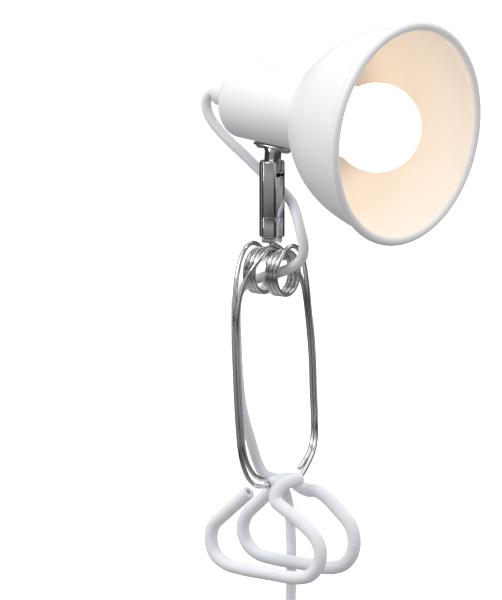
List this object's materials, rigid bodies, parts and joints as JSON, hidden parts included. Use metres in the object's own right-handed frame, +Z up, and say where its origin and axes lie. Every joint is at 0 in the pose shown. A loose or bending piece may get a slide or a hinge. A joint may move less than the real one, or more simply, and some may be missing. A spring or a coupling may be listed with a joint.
{
  "type": "clip-on spot lamp",
  "caption": "Small spot lamp with a bell shade and ball bulb on a tilting, swivelling knuckle, held by a squeeze-to-open spring wire clamp with soft sleeved jaws.",
  "frame": {"origin": "middle of the gap between the jaws, level with the top edge of the gripped board", "axes": "+X along the spring coil and the way the shade points, +Y towards the rear jaw, +Z up"},
  "size_m": [0.1535, 0.1264, 0.4462],
  "materials": {
    "chrome_wire": "bright chrome plate",
    "chrome_turned": "bright chrome plate on turned steel",
    "steel": "zinc plated steel",
    "brass": "plain brass",
    "nickel": "nickel plated",
    "white_paint": "satin white powder coat, warm white inside",
    "white_plastic": "moulded white plastic",
    "soft_sleeve": "soft white vinyl sleeve",
    "cord_white": "white vinyl cord sheath",
    "opal_glass": "opal globe, lit",
    "ceramic": "heat resistant moulding",
    "rocker_black": "satin black key"
  },
  "bodies": {
    "root": {"coil_left": "chrome_wire", "coil_right": "chrome_wire", "saddle_block": "steel", "saddle_nut": "steel", "stud": "steel", "hex_collar": "chrome_turned", "knuckle_lower": "chrome_turned", "cord_coil": "cord_white"},
    "front_lever": {"front_lever_wire": "chrome_wire", "front_short_leg": "chrome_wire", "rear_jaw_sleeve": "soft_sleeve", "cord_handle": "cord_white", "cord_drop": "cord_white", "cord_link": "cord_white", "cord_ring": "cord_white", "cord_tail": "cord_white", "switch_cover": "white_plastic", "switch_base": "white_plastic", "switch_contact_in": "brass", "switch_contact_out": "brass", "switch_screw": "steel", "switch_guard_top": "white_plastic", "switch_guard_bottom": "white_plastic", "plug_guard": "white_plastic", "plug_body": "white_plastic", "plug_pin_left": "nickel", "plug_pin_right": "nickel"},
    "rear_lever": {"rear_lever_wire": "chrome_wire", "rear_short_leg": "chrome_wire", "front_jaw_sleeve": "soft_sleeve"},
    "knuckle": {"knuckle_upper": "chrome_turned", "seam_washer": "steel", "swivel_screw": "steel", "swivel_spring_washer": "steel", "pivot_pin": "steel", "cord_neck": "cord_white"},
    "head": {"neck_bar": "chrome_turned", "bracket_plate": "chrome_turned", "bracket_screw_rear": "steel", "bracket_screw_front": "steel", "neck_screw": "steel", "housing": "white_paint", "cord_bush": "white_plastic", "bush_nut": "steel", "shade": "white_paint", "lampholder": "ceramic", "retaining_ring": "ceramic", "shell_contact": "brass", "centre_contact": "brass", "terminal_screw_live": "brass", "terminal_screw_neutral": "brass", "bulb_contact": "brass", "bulb_cap": "nickel", "bulb_body": "white_plastic", "bulb_light_board": "white_plastic", "bulb_globe": "opal_glass", "cord_head": "cord_white"},
    "rocker": {"switch_rocker": "rocker_black"}
  },
  "joints": [
    {"name": "clamp_squeeze", "type": "hinge", "parent": "root", "child": "front_lever", "pos_m": [0, 0, 0.1177], "axis": [1, 0, 0], "range_deg": [-3.5, 6], "deforming": ["cord_handle"]},
    {"name": "clamp_squeeze_rear", "type": "hinge", "parent": "root", "child": "rear_lever", "pos_m": [0, 0, 0.1177], "axis": [1, 0, 0], "range_deg": [-6, 3.5]},
    {"name": "head_swivel", "type": "hinge", "parent": "root", "child": "knuckle", "pos_m": [0, 0, 0.1477], "axis": [0, 0, 1], "range_deg": [-150, 165], "deforming": ["cord_neck"]},
    {"name": "head_tilt", "type": "hinge", "parent": "knuckle", "child": "head", "pos_m": [0, 0, 0.1731], "axis": [0.1167, 0.9932, 0], "range_deg": [-4.9, 45], "deforming": ["cord_head"]},
    {"name": "switch_rock", "type": "hinge", "parent": "front_lever", "child": "rocker", "pos_m": [-0.0029, 0.0164, -0.1053], "axis": [1, 0, 0], "range_deg": [0, 9]}
  ],
  "couplings": [
    {"joint": "clamp_squeeze_rear", "follows": "clamp_squeeze", "ratio": -1}
  ]
}
